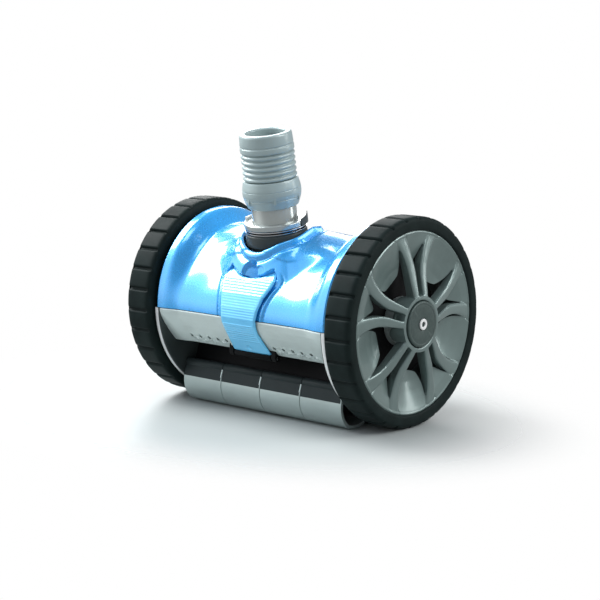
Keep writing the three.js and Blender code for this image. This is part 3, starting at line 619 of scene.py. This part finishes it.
# ---------------------------------------------------------------- latch strap
def make_strap():
    columns = np.concatenate([[-1, -0.985, -0.965, -0.94], np.linspace(-0.9, 0.9, 75),
                              [0.94, 0.965, 0.985, 1]])
    share = np.concatenate([np.linspace(0, 0.03, 5)[:-1], np.linspace(0.03, 0.985, 330),
                            np.linspace(0.985, 1, 5)[1:]])
    top_z = np.full_like(columns, 42.0)
    for _ in range(12):
        top_z = strap_top(columns * strap_half_width(top_z))
    z = top_z[:, None] + (STRAP_LOW_Z - top_z[:, None]) * share[None, :]
    half = strap_half_width(z)
    x = columns[:, None] * half
    y = strap_y(z)
    slope = (strap_y(z + 0.4) - strap_y(z - 0.4)) / 0.8
    length = np.hypot(1, slope)
    normal_y, normal_z = -1 / length, slope / length
    edge = np.minimum(half - np.abs(x), top_z[:, None] - z)
    # faint cross ribs above the strap's middle and stronger ones below it
    pitch_above, pitch_below = 2.5, 2.35
    above = np.mod(z - 3.2, pitch_above)
    below = np.mod(z + 6.0, pitch_below)
    rib_above = bump(np.minimum(above, pitch_above - above), 0.62) * smooth((z - 2.2) / 0.6)
    rib_below = bump(np.minimum(below, pitch_below - below), 0.6) * smooth((-4.6 - z) / 0.6)
    rib_below = rib_below * smooth((z + 24.5) / 0.6)
    inside_edge = smooth((half - np.abs(x) - 2.4) / 0.8)
    below_top = smooth((top_z[:, None] - z - 2.6) / 0.8)
    ribs = (0.19 * rib_above + 0.3 * rib_below) * inside_edge * below_top
    # rounded edges, a slight crown and a ring-shaped dimple near the lower end
    lift = ribs - 0.9 * bump(edge, 0.9) - 0.25 * (np.abs(x) / half) ** 2
    lift = lift - 0.9 * bump(z - STRAP_LOW_Z, 1.2)
    lift = lift - 0.7 * bump(np.hypot(x, (z + 30) * 1.2) - 1.5, 1.0)
    top = np.stack([x, y + lift * normal_y, z + lift * normal_z], -1)
    bottom = np.stack([x, y - STRAP_WALL * normal_y, z - STRAP_WALL * normal_z], -1)
    keep = np.ones((len(columns) - 1, len(share) - 1), bool)
    add_piece("latch_moulding", [shell(top, bottom, keep)], "blue_strap", "latch", ["latch_strap"],
              smooth_angle=55)
    barrel = revolved(rounded([(-23.4, 2.3), (-23.4, 3.6), (23.4, 3.6), (23.4, 2.3)], 0.6), 48)
    barrel_points = np.asarray(barrel[0]) + (0, -67.3, -38)
    add_piece("latch_knuckle", [(barrel_points, barrel[1])], "black_plastic", "latch")


# ---------------------------------------------------------------- front and rear panels
PANEL_Y = [88.5, 87.9, 86.6, 84.5, 81.6, 77.6, 74.2, 70.5, 66]
PANEL_Z = [-1.0, -4.5, -8.2, -12, -16.6, -22, -26.3, -30.5, -35.5]
PANEL_LOW_Z = PANEL_Z[-1]
PANEL_WALL = 2.6
DRAIN_XS = (31, 42.6, 54.2, 65.8, 77.4)
DRAIN_Z = -27.4
DRAIN_RADIUS = 1.75
# the notch in the front panel's lower edge, where the latch's end hooks in
NOTCH_HALF = 24.4
NOTCH_Z = -31
PANEL_HALF = 103.7


def make_panel(name, side, body, replaces, drained):
    """The front panel has drain holes, scoops and latch lugs; the rear one has hinge arms."""
    xs = np.concatenate([np.linspace(-PANEL_HALF, -78, 30)[:-1], np.arange(-78, 78.01, 0.8),
                         np.linspace(78, PANEL_HALF, 30)[1:]])
    zs = np.concatenate([[-1.0, -1.3, -1.7], np.linspace(-2.3, PANEL_LOW_Z + 1, 70),
                         [PANEL_LOW_Z + 0.5, PANEL_LOW_Z + 0.2, PANEL_LOW_Z]])
    u, v = np.meshgrid(xs, zs, indexing="ij")

    def depth(x, z):
        if not drained:
            return np.full_like(x, 9.0)
        near = [np.hypot(x - sign * hole, z - DRAIN_Z) for hole in DRAIN_XS for sign in (-1, 1)]
        return np.min(near, 0) - DRAIN_RADIUS

    u, v = snapped(u, v, depth, 1.0, 1.0, 0.4)
    growth = (PLATE_RADIUS - PANEL_Y[0]) * end_flare(u)
    lift = -0.6 * bump(-1 - v, 0.5) - 0.6 * bump(v - PANEL_LOW_Z, 0.7)
    if drained:
        for hole in DRAIN_XS:
            for sign in (-1, 1):
                across = u - sign * hole
                lift = lift + 0.4 * bump(np.hypot(across, v - DRAIN_Z) - 2.4, 0.6)
                # a scoop between this hole and the next, with a pit at its left end
                scoop = np.hypot((across - 6.4) / 3.0, (v - DRAIN_Z + 3.4) / 1.9)
                pit = np.hypot((across - 2.6) / 1.5, (v - DRAIN_Z + 3.8) / 1.6)
                lift = lift + 1.7 * smooth((1.2 - scoop) / 0.7) - 1.6 * smooth((1.2 - pit) / 0.5)
    distance = np.interp(-v, [-z for z in PANEL_Z], PANEL_Y) + growth
    top = np.stack([u, side * (distance + lift), v], -1)
    bottom = np.stack([u, side * (distance - PANEL_WALL), v + 0.8 * smooth(-v / 6)], -1)
    keep = cells(depth(u, v)) > 0
    if drained:
        keep &= ~((np.abs(cells(u)) < NOTCH_HALF) & (cells(v) < NOTCH_Z))
    shape = shell(top, bottom, keep)
    if side > 0:
        shape = (shape[0], [face[::-1] for face in shape[1]])
    shapes = [shape]
    if drained:
        lug = extruded([(-70, -29), (-70.6, -33), (-71.3, -38), (-69.5, -41.2), (-67.3, -42),
                        (-64.6, -40.8), (-63.3, -38), (-67.2, -33.2), (-67.6, -29)], 24.6, 30)
        add_piece("latch_lugs", [lug, mirrored(lug)], "black_plastic", body, bevel=0.4)
    else:
        outline = [(84.5, -3), (89, -3), (93, 2.6), (96.6, 2.2), (98.3, -0.6), (96.8, -4),
                   (92, -4.6), (86, -12), (83, -12)]
        for x0, x1 in ((62.4, 70), (42, 49.6)):
            arm = extruded(outline, x0, x1)
            shapes += [arm, mirrored(arm)]
    add_piece(name, shapes, "panel_grey", body, replaces, smooth_angle=45)


# ---------------------------------------------------------------- wheels
PAIR_TURN = math.radians(90 - 1.5)  # direction of the first of five pairs of arms
SECTOR = 2 * math.pi / 5
# by radius: how far an arm's two edges lie from the middle of its pair, and the face's height
ARM_R = [22, 30, 40, 48, 56, 64, 70, 76.5, 83, 87]
ARM_INNER = [3.0, 3.5, 3.5, 3.6, 5.2, 7.8, 9.9, 12.6, 15.7, 17.5]
ARM_OUTER = [9.4, 10.6, 11.9, 13.2, 15.0, 18.2, 21.4, 25.6, 31.0, 35.0]
DOME_R = [17, 22, 27, 31, 37, 46, 57, 70, 80, 84, 87]
DOME_X = [149.2, 149.2, 148.9, 148.2, 146.9, 145.1, 143.5, 142.2, 141.4, 141.2, 141.0]


def wheel_parts(radius, angle):
    """Distances that describe the spoke pattern at a point of the wheel's face."""
    turn = np.mod(angle - PAIR_TURN + SECTOR / 2, SECTOR) - SECTOR / 2
    across = radius * np.abs(turn)
    inner = np.interp(radius, ARM_R, ARM_INNER)
    outer = np.interp(radius, ARM_R, ARM_OUTER)
    to_middle = radius * SECTOR / 2 - across
    room = radius * SECTOR / 2 - outer
    return across, inner, outer, to_middle, room


def wheel_opening(radius, angle):
    """Positive inside the openings of the wheel's face."""
    across, inner, outer, to_middle, room = wheel_parts(radius, angle)
    big_gap = np.interp(radius, [44, 52, 60, 68, 74, 78.5], [8.5, 5.4, 3.2, 1.7, 0.8, -0.4])
    leaf = np.minimum(room - big_gap - to_middle, (radius - 46 - to_middle ** 2 / 34) * 0.8)
    big = np.minimum(np.minimum(across - outer, radius - 28), -leaf)
    small_gap = np.interp(radius, [56, 62, 68, 74, 78.5], [5, 3.0, 1.8, 0.8, -0.4])
    tongue = np.minimum(inner - small_gap - across, (radius - 58) * 0.9)
    small = np.minimum(np.minimum(inner - across, radius - 29.5), -tongue)
    return np.maximum(big, small)


def wheel_face(radius, angle):
    """Height of the wheel's outer face along X, and the thickness under it."""
    across, inner, outer, to_middle, room = wheel_parts(radius, angle)
    dome = np.interp(radius, DOME_R, DOME_X)
    centre = (inner + outer) / 2
    half = (outer - inner) / 2
    along = np.abs(across - centre) / half
    arm = dome - 0.9 * np.minimum(along, 1.2) ** 4
    big_depth = np.interp(radius, [40, 46, 56, 66, 75, 80, 83.5], [14, 13, 10.5, 7.2, 3.6, 1.5, 0])
    bowl = 0.72 + 0.28 * np.cos(np.clip(to_middle / np.maximum(room, 1), 0, 1) * math.pi / 2)
    small_depth = np.interp(radius, [56, 64, 70, 76, 80, 83.5], [9, 6.5, 4.2, 1.9, 0.8, 0])
    recess = np.where(across > centre, big_depth * bowl, small_depth)
    outside = np.maximum(across - outer, inner - across)
    off_arm = smooth((outside + 0.2) / 1.1)
    hub = smooth((27.6 - radius) / 1.2)
    off_arm = off_arm * (1 - hub)
    height = arm * (1 - off_arm) + (dome - recess) * off_arm
    height = height * (1 - hub) + (dome + 0.1) * hub
    height = height + 0.8 * bump(radius - 85.6, 0.9) - 0.8 * bump(radius - 22.4, 0.5)
    arm_thick = np.interp(radius, [22, 30, 60, 83, 87], [9, 9, 7.5, 4.5, 4])
    return height, arm_thick * (1 - off_arm) + 2.2 * off_arm


def make_rim(side, word):
    radii = np.concatenate([[22.4, 22.7, 23.1], np.linspace(23.8, 84, 92),
                            [84.7, 85.3, 86, 86.5, RIM_EDGE]])
    angles = np.linspace(0, 2 * math.pi, 900, endpoint=False)
    u, v = np.meshgrid(radii, angles, indexing="ij")
    u, v = snapped(u, v, wheel_opening, 1.0, u, 0.33)
    height, thick = wheel_face(u, v)
    top = np.stack([height, u * np.cos(v), u * np.sin(v)], -1)
    bottom = np.stack([height - thick, u * np.cos(v), u * np.sin(v)], -1)
    opening = wheel_opening(u, v)
    ring = np.roll(opening, -1, 1)
    middle = (opening[:-1] + opening[1:] + ring[:-1] + ring[1:]) / 4
    keep = middle < 0.02
    face = shell(top, bottom, keep, wrap=True)
    face = (face[0], [corner[::-1] for corner in face[1]])
    barrel = revolved(rounded([(113, 80.2), (113, 83.2), (139.6, 83.2), (141.4, 86.4),
                               (141.4, 84.6), (138, 80.2)]), 160)
    hub = revolved(rounded([(114, 11.9), (114, 17), (139.4, 17), (139.4, 23.4), (143.6, 23.4),
                            (143.6, 22.4), (141.2, 22.4), (141.2, 17.2), (147, 17), (147, 11.9)],
                           0.3))
    sleeve = revolved(rounded([(114.4, 17.1), (114.4, 21.4), (122.8, 21.4), (122.8, 23.6),
                               (138.6, 23.6), (138.6, 17.1)], 0.4))
    shapes = [face, barrel, hub]
    if side < 0:
        shapes = [mirrored(shape) for shape in shapes]
        sleeve = mirrored(sleeve)
    add_piece(f"rim_{word}", shapes, "wheel_grey", f"wheel_{word}", [f"wheel_rim_{word}"],
              smooth_angle=48)
    # painted light: the light panel grey is partly the sleeve's own lighter tone and partly stands
    # in for light it doesn't get here
    add_piece(f"hub_sleeve_{word}", [sleeve], "panel_grey", f"wheel_{word}")


TREAD_BLOCKS = 30
STEPS_PER_BLOCK = 26
TREAD_PHASE = math.radians(2.4)
# (x, radius, 1 where the grooves cut in) round the tyre, from its inner bead to its outer bead
TYRE_PROFILE = [
    (114.5, 84.0, 0), (112.9, 85.0, 0), (112.4, 88, 0), (112.2, 92, 0), (112.3, 94.6, 0),
    (112.7, 96.2, 0), (113.4, 97.8, 0), (114.4, 99.0, 0), (115.8, 99.75, 1), (118, 100, 1),
    (123, 100, 1), (127.5, 100, 1), (132, 100, 1), (137, 100, 1), (139.2, 99.8, 1),
    (140.6, 99.2, 1), (141.7, 98.2, 1), (142.4, 97.0, 0), (142.75, 95.9, 0), (142.8, 94.9, 0),
    (142.8, 92.5, 0), (142.7, 89.5, 0), (142.3, 87.8, 0), (141.4, 87.0, 0), (140.2, 86.6, 0),
    (139.4, 84.2, 0)]


def make_tyre(side, word):
    pitch = 2 * math.pi / TREAD_BLOCKS
    half_block = 0.435 * pitch
    grooved = np.array([[cut] for _, _, cut in TYRE_PROFILE])

    def relief(angles):
        place = np.mod(angles - TREAD_PHASE, pitch) - pitch / 2
        inside = (half_block - np.abs(place)) * WHEEL_RADIUS
        groove = 1 - smooth((inside + 0.25) / 0.75)
        corner = 0.35 * bump(np.maximum(inside, 0), 0.9) * (1 - groove)
        return -grooved * (2.7 * groove + corner)

    profile = [(x, r) for x, r, _ in TYRE_PROFILE]
    shape = revolved(profile, TREAD_BLOCKS * STEPS_PER_BLOCK, relief)
    if side < 0:
        shape = mirrored(shape)
    add_piece(f"tread_{word}", [shape], "tyre_rubber", f"wheel_{word}", [f"tyre_{word}"],
              smooth_angle=60)


def make_wheel_trim(side, word):
    cap = revolved(rounded([(141.6, 18), (141.6, 21.7), (150.0, 21.7), (150.6, 20.9), (150.7, 19.2),
                            (150.45, 18.6), (150.6, 18), (150.75, 6.2), (150.3, 6.0), (150.3, 0.01),
                            (147.8, 0.01), (147.8, 18)], 0.25), 128)
    ring = revolved(rounded([(150.6, 2.5), (150.6, 5.25), (151.7, 5.25), (152, 4.9), (152, 2.9),
                             (151.7, 2.5)], 0.2), 64)
    if side < 0:
        cap, ring = mirrored(cap), mirrored(ring)
    add_piece(f"cap_{word}", [cap], "cap_grey", f"wheel_{word}", [f"hub_cap_{word}"])
    add_piece(f"cap_centre_{word}", [ring], "white_plastic", f"wheel_{word}", [f"cap_ring_{word}"])


def make_edge_ring(side, word):
    """Bright trim along the lower half of the side plate, up to the parting line."""
    angles = np.radians(np.linspace(180.5, 359.5, 160))
    corners = rounded([(108.0, 90.2), (108.0, 92.3), (105.2, 92.3), (105.2, 92.8), (108.9, 92.8),
                       (109.2, 92.4), (109.2, 90.2)], 0.15)
    count = len(corners)
    points = [(x, r * math.cos(a), r * math.sin(a)) for a in angles for x, r in corners]
    faces = []
    for row in range(len(angles) - 1):
        for k in range(count):
            first, second = row * count + k, row * count + (k + 1) % count
            faces.append((first, first + count, second + count, second))
    last = (len(angles) - 1) * count
    faces.append(tuple(range(count)))
    faces.append(tuple(last + k for k in reversed(range(count))))
    ring = (np.array(points), faces)
    if side < 0:
        ring = mirrored(ring)
    add_piece(f"edge_trim_{word}", [ring], "bright_trim", "chassis", [f"edge_ring_{word}"])


# ---------------------------------------------------------------- hose swivel
HOSE_RIBS = 5
HOSE_RIB_PITCH = 5.3


def arc_tab(start, end, inner, outer, low, high, high_end=None):
    """A piece of a ring between two angles in degrees, counted from +X towards the rear; its top
    slopes from high to high_end."""
    angles = np.radians(np.linspace(start, end, 14))
    tops = np.linspace(high, high if high_end is None else high_end, 14)
    points = []
    for angle, top in zip(angles, tops):
        for radius, height in ((inner, low), (outer, low), (outer, top), (inner, top)):
            points.append((height, radius * math.sin(angle), radius * math.cos(angle)))
    count = 4
    faces = []
    for row in range(len(angles) - 1):
        for k in range(count):
            a, b = row * count + k, row * count + (k + 1) % count
            faces.append((a, b, b + count, a + count))
    faces.append((3, 2, 1, 0))
    last = (len(angles) - 1) * count
    faces.append((last, last + 1, last + 2, last + 3))
    return stood_up((np.array(points), faces))


def make_swivel():
    top = DRUM_TOP
    drum = upright([(top - 20, 25), (top - 20, 29.2), (top - 18.6, 30), (top - 8.4, 30),
                    (top - 7.8, 29.3), (top - 7.2, 29.3), (top - 6.8, 29.8), (top - 6, 29.8),
                    (top - 6, 22.6), (top - 9, 22.6), (top - 9, 25)])
    arms = []
    for x0, x1 in ((28.3, 31.5), (-31.5, -28.3)):
        outline = [(-7, -6.5), (7, -6.5), (9, top - 12), (-9, top - 12)]
        points, faces = extruded(outline, x0, x1)
        arms.append(stood_up((points[:, ::-1], faces)))
    add_piece("drum", [drum, *arms], "dark_grey", "hose_carriage", ["swivel_drum"])
    # painted highlight: a thin bright steel band at the drum's top edge stands in for the highlight
    # on the drum's bevel
    trim = upright([(top - 6, 27), (top - 6, 30.1), (top - 5.3, 30.1), (top - 5.3, 27)],
                   corner=0.15)
    add_piece("drum_edge_painted_highlight", [trim], "steel", "hose_carriage")
    seal = upright([(top - 5.2, 22.4), (top - 5.2, 28.6), (top - 4.8, 28.9), (top - 3.9, 28.6),
                    (top - 3.9, 22.4)])
    add_piece("seal", [seal], "rubber_black", "hose_carriage", ["seal_ring"])
    retainer = upright([(top - 3.8, 22.4), (top - 3.8, 30.0), (top - 2.7, 30.0), (top - 2.7, 22.4)])
    add_piece("retainer", [retainer], "steel", "hose_carriage", ["retaining_ring"])
    plate = upright([(top - 2, 22.4), (top - 2, 30.3), (top - 1.6, 30.6), (top + 2.5, 30.6),
                     (top + 3, 30.1), (top + 3, 22.4)])
    add_piece("collar", [plate], "swivel_grey", "hose_carriage", ["collar_plate"])
    tab = arc_tab(150, 205, 28.4, 30.2, top + 2.8, top + 4.4, top + 6)
    add_piece("collar_tab", [tab], "white_plastic", "hose_carriage", bevel=0.2)
    stop = arc_tab(4, 46, 30.65, 31.6, top - 1.9, top + 5.2, top + 7.4)
    add_piece("collar_stop", [stop], "dark_grey", "hose_carriage", bevel=0.25)


def make_hose():
    top = DRUM_TOP
    neck = upright([(top - 12, 18.6), (top - 12, 24.4), (top - 9.4, 24.4), (top - 9.4, 21.8),
                    (top + 27, 21.8), (top + 27, 18.6)])
    add_piece("neck", [neck], "swivel_grey", "hose_swivel", ["neck_tube"])
    low = top + 17
    cuff_profile = [(low, 22.1), (low, 24.3), (low + 0.8, 24.8), (low + 3, 25.6), (low + 6, 26.8),
                    (low + 8.5, 27.6), (low + 8.9, 27.2), (low + 9.3, 27.8), (low + 13, 28.35),
                    (low + 17, 28.3), (low + 17.5, 27.9), (low + 18, 28.2), (low + 21, 27.6),
                    (low + 24.4, 26.8), (low + 26.5, 26.2), (low + 26.5, 21),
                    (top + 27.3, 21), (top + 27.3, 22.1)]
    ridges = []
    for turn in range(14, 360, 60):
        ridges.append(arc_tab(turn, turn + 5, 26.5, 28.2, low + 6, low + 18))
    add_piece("cuff", [upright(cuff_profile), *ridges], "hose_grey", "hose_swivel", ["hose_cuff"])
    start = top + 43.8
    profile = [(start, 19.0)]
    for rib in range(HOSE_RIBS):
        base = start + rib * HOSE_RIB_PITCH
        profile += [(base, 23.8), (base + 0.7, 25.2), (base + 1.6, 25.9), (base + 2.7, 25.9),
                    (base + 3.6, 25.3), (base + 4.3, 24.2), (base + 4.8, 23.7)]
    end = start + HOSE_RIBS * HOSE_RIB_PITCH
    profile += [(end, 23.7), (end, 19.0)]
    add_piece("hose_ribs", [stood_up(revolved(profile))], "hose_grey", "hose_swivel",
              ["ribbed_hose"], smooth_angle=60)
    low = end + 0.3
    end_profile = [(low, 19), (low, 25.6), (low + 0.8, 26), (low + 5, 26), (low + 5.6, 25.3),
                   (low + 6.6, 25.3), (low + 7.2, 25.8), (low + 16, 25.2), (low + 17.4, 24.6),
                   (low + 18, 23.6), (low + 18, 20.2), (low + 16.5, 19)]
    add_piece("end_cuff", [upright(end_profile)], "hose_grey", "hose_swivel", ["hose_end_cuff"])


# ---------------------------------------------------------------- floor flaps
FLAP_OUTER = [(56.7, -61.4), (58.2, -65.5), (59.4, -69.0), (60.3, -72.6), (60.6, -74.6),
              (60.8, -79), (60.0, -83.4), (58.9, -86.8), (56.6, -91.2), (53.6, -94.9),
              (50.2, -97.4), (46, -99.0), (41, -99.7), (34, -99.5), (29, -98.4), (24.4, -96.6)]
FLAP_BAND = FLAP_OUTER[:4]
FLAP_WALL = 3.3
FLAP_HALF = 102.6  # half the width of a row of flaps
FLAPS_IN_ROW = 4
FLAP_GAP = 0.5
FLAP_HINGE_Y, FLAP_HINGE_Z = 53.5, -60


def thickened(line, wall):
    """A closed outline from an open (y, z) line and a wall on its inner side."""
    line = np.array(line)
    ahead = np.roll(line, -1, 0) - np.roll(line, 1, 0)
    ahead[0] = line[1] - line[0]
    ahead[-1] = line[-1] - line[-2]
    length = np.linalg.norm(ahead, axis=1)[:, None]
    inward = np.stack([ahead[:, 1], -ahead[:, 0]], 1) / length
    return [tuple(p) for p in line] + [tuple(p) for p in (line + inward * wall)[::-1]]


def make_flaps():
    pitch = 2 * FLAP_HALF / FLAPS_IN_ROW
    length = pitch - FLAP_GAP
    outline = thickened(FLAP_OUTER, FLAP_WALL)
    # a thin dark band laid on the upper facet as painted shade, with a light rib at its right end
    band = thickened([(y + 0.35, z) for y, z in FLAP_BAND], 0.5)
    rib = thickened([(y + 0.75, z) for y, z in FLAP_BAND[:3]], 0.6)
    eye = revolved(rounded([(0, 2.5), (0, 4.3), (length, 4.3), (length, 2.5)]), 40)
    for word, side in (("front", -1), ("rear", 1)):
        for number in range(FLAPS_IN_ROW):
            x0 = -FLAP_HALF + number * pitch + FLAP_GAP / 2
            x1 = x0 + length
            body = f"{word}_flap_body_{number + 1}"
            plate = extruded([(side * y, z) for y, z in outline], x0, x1)
            barrel = (np.asarray(eye[0]) + (x0, side * FLAP_HINGE_Y, FLAP_HINGE_Z), eye[1])
            add_piece(f"{word}_flap_plate_{number + 1}", [plate], "flap_grey", body,
                      [f"{word}_flap_{number + 1}"], bevel=0.45, smooth_angle=30)
            # painted shade: the strip and the hinge eye take the near-black grey for the shade on
            # the upper facet under the panel
            strip = extruded([(side * y, z) for y, z in band], x0 + 0.1, x1 - 1.2)
            add_piece(f"{word}_flap_band_{number + 1}", [strip, barrel], "flap_painted_shade", body,
                      bevel=0.1, smooth_angle=30)
            end = extruded([(side * y, z) for y, z in rib], x1 - 1.3, x1 - 0.1)
            add_piece(f"{word}_flap_rib_{number + 1}", [end], "panel_grey", body, bevel=0.15)


# ---------------------------------------------------------------- CAD pieces that stay
def dress_cad():
    """Gives every CAD node its slot's material and smoother edges, for the ones that stay shown;
    the two ring gears get a darker one as painted shade.
    """
    slots = {part["node"]: part["material_slot"] for part in frame["record"]["subparts"]}
    # painted shade: the two ring gears sit in shade and get the darker black_plastic instead of
    # their slot's own material
    slots.update(ring_gear_left="black_plastic", ring_gear_right="black_plastic")
    for name, obj in frame["nodes"].items():
        obj.data.materials.clear()
        obj.data.materials.append(MATERIALS[slots[name]])
        obj.data.polygons.foreach_set("use_smooth", [True] * len(obj.data.polygons))
        obj.data.set_sharp_from_angle(angle=math.radians(32))


add_camera()
add_floor()
add_light()
dress_cad()
make_cover()
make_cover_fittings()
make_strap()
make_panel("front_panel_moulding", -1, "chassis", ["front_panel"], True)
make_panel("rear_panel_moulding", 1, "chassis", ["rear_panel"], False)
for wheel_side, wheel_word in ((-1, "left"), (1, "right")):
    make_rim(wheel_side, wheel_word)
    make_tyre(wheel_side, wheel_word)
    make_wheel_trim(wheel_side, wheel_word)
    make_edge_ring(wheel_side, wheel_word)
make_swivel()
make_hose()
make_flaps()
